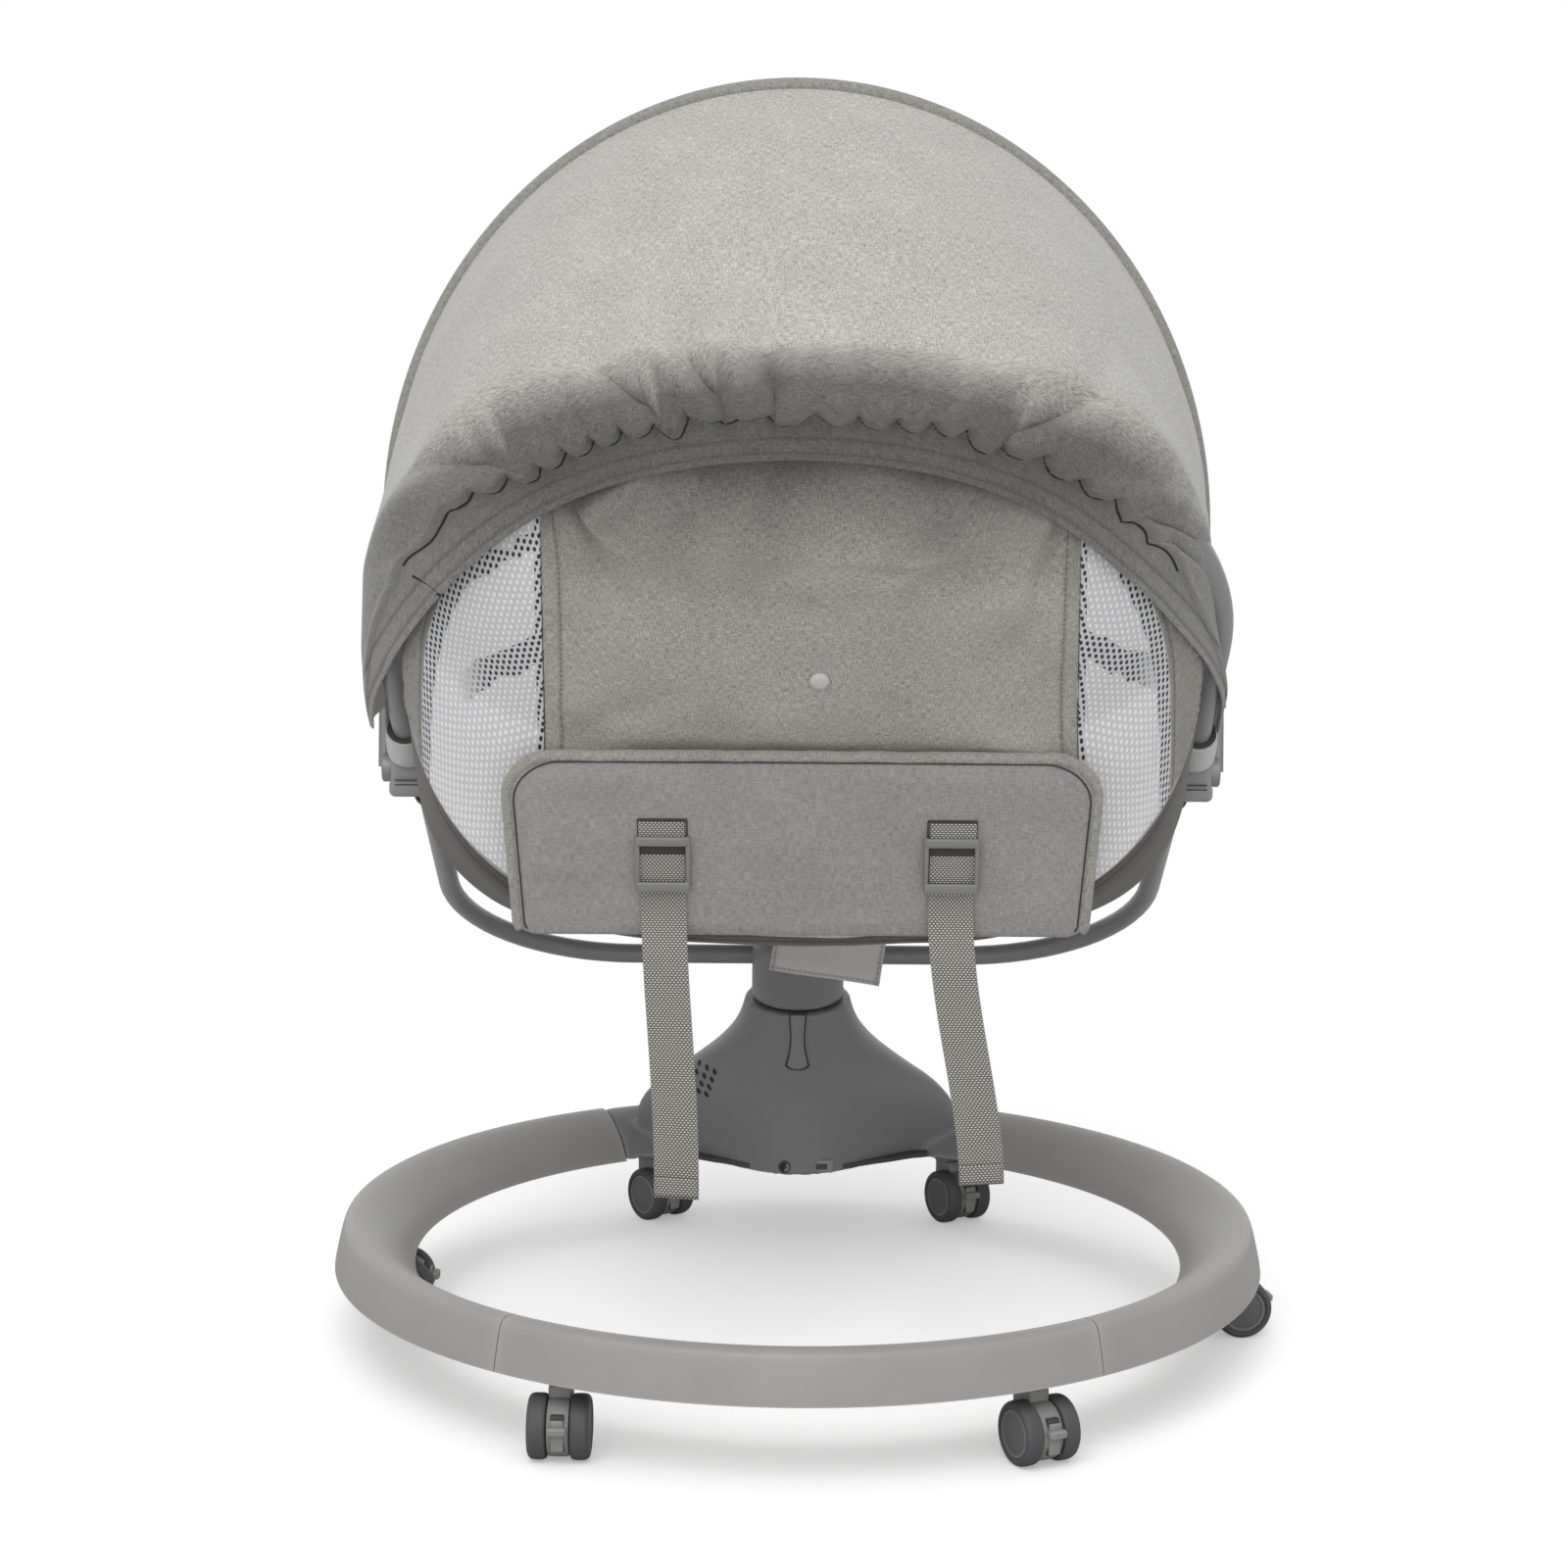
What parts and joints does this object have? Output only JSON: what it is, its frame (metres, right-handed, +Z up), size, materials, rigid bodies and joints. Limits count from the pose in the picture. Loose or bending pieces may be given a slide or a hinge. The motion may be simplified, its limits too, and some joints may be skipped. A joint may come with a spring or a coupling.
{
  "type": "baby cradle",
  "caption": "Electric baby cradle: a slung reclining seat with a folding canopy on a tube frame that swings on the leaning neck of a ring base with castors.",
  "frame": {"origin": "on the floor, under the middle of the object's overall width and length", "axes": "+Z up, +Y from the head end towards the tower and the foot end, +X to the right seen from behind the head end"},
  "size_m": [0.5594, 0.6385, 0.7366],
  "materials": {
    "ring_plastic": "satin",
    "tower_plastic": "satin",
    "dark_plastic": "matte",
    "tyre": "satin",
    "castor_plastic": "satin",
    "tube_paint": "satin",
    "box_plastic": "satin",
    "collar_plastic": "satin",
    "linen": "matte",
    "panel_cloth": "matte",
    "mesh_cloth": "matte",
    "lining": "matte",
    "webbing": "matte",
    "buckle_plastic": "satin",
    "tag_cloth": "matte",
    "steel": "satin",
    "copper": "satin",
    "circuit": "satin",
    "bow_alloy": "satin"
  },
  "bodies": {
    "base": {"ring_rear": "ring_plastic", "ring_right": "ring_plastic", "ring_left": "ring_plastic", "tower_shell": "tower_plastic", "base_plate": "dark_plastic", "drive_coil": "copper", "circuit_board": "circuit", "speaker": "dark_plastic", "dc_jack": "dark_plastic", "usb_socket": "dark_plastic", "control_panel": "dark_plastic", "neck_bearing": "steel", "neck_seal": "dark_plastic"},
    "latch": {"release_latch": "tower_plastic"},
    "power_key": {"power_button": "box_plastic"},
    "speed_key": {"speed_button": "box_plastic"},
    "seat": {"neck": "tower_plastic", "neck_shaft": "steel", "yoke_tube": "tube_paint", "rim_head_tube": "tube_paint", "rim_foot_tube": "tube_paint", "side_box_left": "box_plastic", "side_box_right": "box_plastic", "collar_left": "collar_plastic", "collar_right": "collar_plastic", "back_flap": "linen", "side_mesh_left": "mesh_cloth", "side_mesh_right": "mesh_cloth", "side_wing_left": "linen", "side_wing_right": "linen", "seat_sling": "lining", "foot_sling": "lining", "seat_pad": "linen", "seat_tag": "tag_cloth", "canopy_fabric": "linen"},
    "canopy": {"canopy_bow": "bow_alloy"},
    "board": {"back_board": "panel_cloth", "strap_left": "webbing", "strap_right": "webbing", "buckle_left": "buckle_plastic", "buckle_right": "buckle_plastic"},
    "castor_rear_right": {"castor_body_rear_right": "castor_plastic"},
    "wheels_rear_right": {"castor_wheels_rear_right": "tyre"},
    "pedal_rear_right": {"brake_pedal_rear_right": "castor_plastic"},
    "castor_right": {"castor_body_right": "castor_plastic"},
    "wheels_right": {"castor_wheels_right": "tyre"},
    "pedal_right": {"brake_pedal_right": "castor_plastic"},
    "castor_front_right": {"castor_body_front_right": "castor_plastic"},
    "wheels_front_right": {"castor_wheels_front_right": "tyre"},
    "pedal_front_right": {"brake_pedal_front_right": "castor_plastic"},
    "castor_front_left": {"castor_body_front_left": "castor_plastic"},
    "wheels_front_left": {"castor_wheels_front_left": "tyre"},
    "pedal_front_left": {"brake_pedal_front_left": "castor_plastic"},
    "castor_left": {"castor_body_left": "castor_plastic"},
    "wheels_left": {"castor_wheels_left": "tyre"},
    "pedal_left": {"brake_pedal_left": "castor_plastic"},
    "castor_rear_left": {"castor_body_rear_left": "castor_plastic"},
    "wheels_rear_left": {"castor_wheels_rear_left": "tyre"},
    "pedal_rear_left": {"brake_pedal_rear_left": "castor_plastic"}
  },
  "joints": [
    {"name": "seat_swing", "type": "hinge", "parent": "base", "child": "seat", "pos_m": [0, 0.172, 0.157], "axis": [0, -0.1908, 0.9816], "range_deg": [-12, 12]},
    {"name": "canopy_fold", "type": "hinge", "parent": "seat", "child": "canopy", "pos_m": [0, -0.028, 0.336], "axis": [1, 0, 0], "range_deg": [0, 48], "deforming": ["canopy_fabric"]},
    {"name": "board_recline", "type": "hinge", "parent": "seat", "child": "board", "pos_m": [0, -0.1361, 0.2584], "axis": [1, 0, 0], "range_deg": [0, 12]},
    {"name": "latch_pull", "type": "hinge", "parent": "base", "child": "latch", "pos_m": [0, 0.1394, 0.1502], "axis": [-1, 0, 0], "range_deg": [0, 15], "stiffness_Nm_per_rad": 0.02},
    {"name": "power_press", "type": "slide", "parent": "base", "child": "power_key", "axis": [0, -0.9567, -0.2912], "range_m": [0, 0.0012], "stiffness_N_per_m": 150},
    {"name": "speed_press", "type": "slide", "parent": "base", "child": "speed_key", "axis": [0, -0.9567, -0.2912], "range_m": [0, 0.0012], "stiffness_N_per_m": 150},
    {"name": "castor_swivel_rear_right", "type": "hinge", "parent": "base", "child": "castor_rear_right", "pos_m": [0.12193, -0.24797, 0.044], "axis": [0, 0, 1], "continuous": true},
    {"name": "castor_roll_rear_right", "type": "hinge", "parent": "castor_rear_right", "child": "wheels_rear_right", "pos_m": [0.12719, -0.25875, 0.01716], "axis": [0.8988, 0.4384, 0], "continuous": true},
    {"name": "brake_rear_right", "type": "hinge", "parent": "castor_rear_right", "child": "pedal_rear_right", "pos_m": [0.13409, -0.27291, 0.0095], "axis": [0.8988, 0.4384, 0], "range_deg": [0, 15]},
    {"name": "castor_swivel_right", "type": "hinge", "parent": "base", "child": "castor_right", "pos_m": [0.25116, -0.04116, 0.044], "axis": [0, 0, 1], "continuous": true},
    {"name": "castor_roll_right", "type": "hinge", "parent": "castor_right", "child": "wheels_right", "pos_m": [0.26304, -0.03949, 0.01716], "axis": [-0.1392, 0.9903, 0], "continuous": true},
    {"name": "brake_right", "type": "hinge", "parent": "castor_right", "child": "pedal_right", "pos_m": [0.27864, -0.0373, 0.0095], "axis": [-0.1392, 0.9903, 0], "range_deg": [0, 15]},
    {"name": "castor_swivel_front_right", "type": "hinge", "parent": "base", "child": "castor_front_right", "pos_m": [0.10229, 0.20176, 0.044], "axis": [0, 0, 1], "continuous": true},
    {"name": "castor_roll_front_right", "type": "hinge", "parent": "castor_front_right", "child": "wheels_front_right", "pos_m": [0.10829, 0.19136, 0.01716], "axis": [0.866, 0.5, 0], "continuous": true},
    {"name": "brake_front_right", "type": "hinge", "parent": "castor_front_right", "child": "pedal_front_right", "pos_m": [0.11617, 0.17772, 0.0095], "axis": [0.866, 0.5, 0], "range_deg": [0, 15]},
    {"name": "castor_swivel_front_left", "type": "hinge", "parent": "base", "child": "castor_front_left", "pos_m": [-0.09827, 0.20351, 0.044], "axis": [0, 0, 1], "continuous": true},
    {"name": "castor_roll_front_left", "type": "hinge", "parent": "castor_front_left", "child": "wheels_front_left", "pos_m": [-0.09088, 0.19405, 0.01716], "axis": [0.788, 0.6157, 0], "continuous": true},
    {"name": "brake_front_left", "type": "hinge", "parent": "castor_front_left", "child": "pedal_front_left", "pos_m": [-0.08118, 0.18164, 0.0095], "axis": [0.788, 0.6157, 0], "range_deg": [0, 15]},
    {"name": "castor_swivel_left", "type": "hinge", "parent": "base", "child": "castor_left", "pos_m": [-0.25054, -0.00608, 0.044], "axis": [0, 0, 1], "continuous": true},
    {"name": "castor_roll_left", "type": "hinge", "parent": "castor_left", "child": "wheels_left", "pos_m": [-0.23855, -0.00566, 0.01716], "axis": [-0.0349, 0.9994, 0], "continuous": true},
    {"name": "brake_left", "type": "hinge", "parent": "castor_left", "child": "pedal_left", "pos_m": [-0.22281, -0.00511, 0.0095], "axis": [-0.0349, 0.9994, 0], "range_deg": [0, 15]},
    {"name": "castor_swivel_rear_left", "type": "hinge", "parent": "base", "child": "castor_rear_left", "pos_m": [-0.12575, -0.24581, 0.044], "axis": [0, 0, 1], "continuous": true},
    {"name": "castor_roll_rear_left", "type": "hinge", "parent": "castor_rear_left", "child": "wheels_rear_left", "pos_m": [-0.12617, -0.2578, 0.01716], "axis": [0.9994, -0.0349, 0], "continuous": true},
    {"name": "brake_rear_left", "type": "hinge", "parent": "castor_rear_left", "child": "pedal_rear_left", "pos_m": [-0.12672, -0.27354, 0.0095], "axis": [0.9994, -0.0349, 0], "range_deg": [0, 15]}
  ]
}
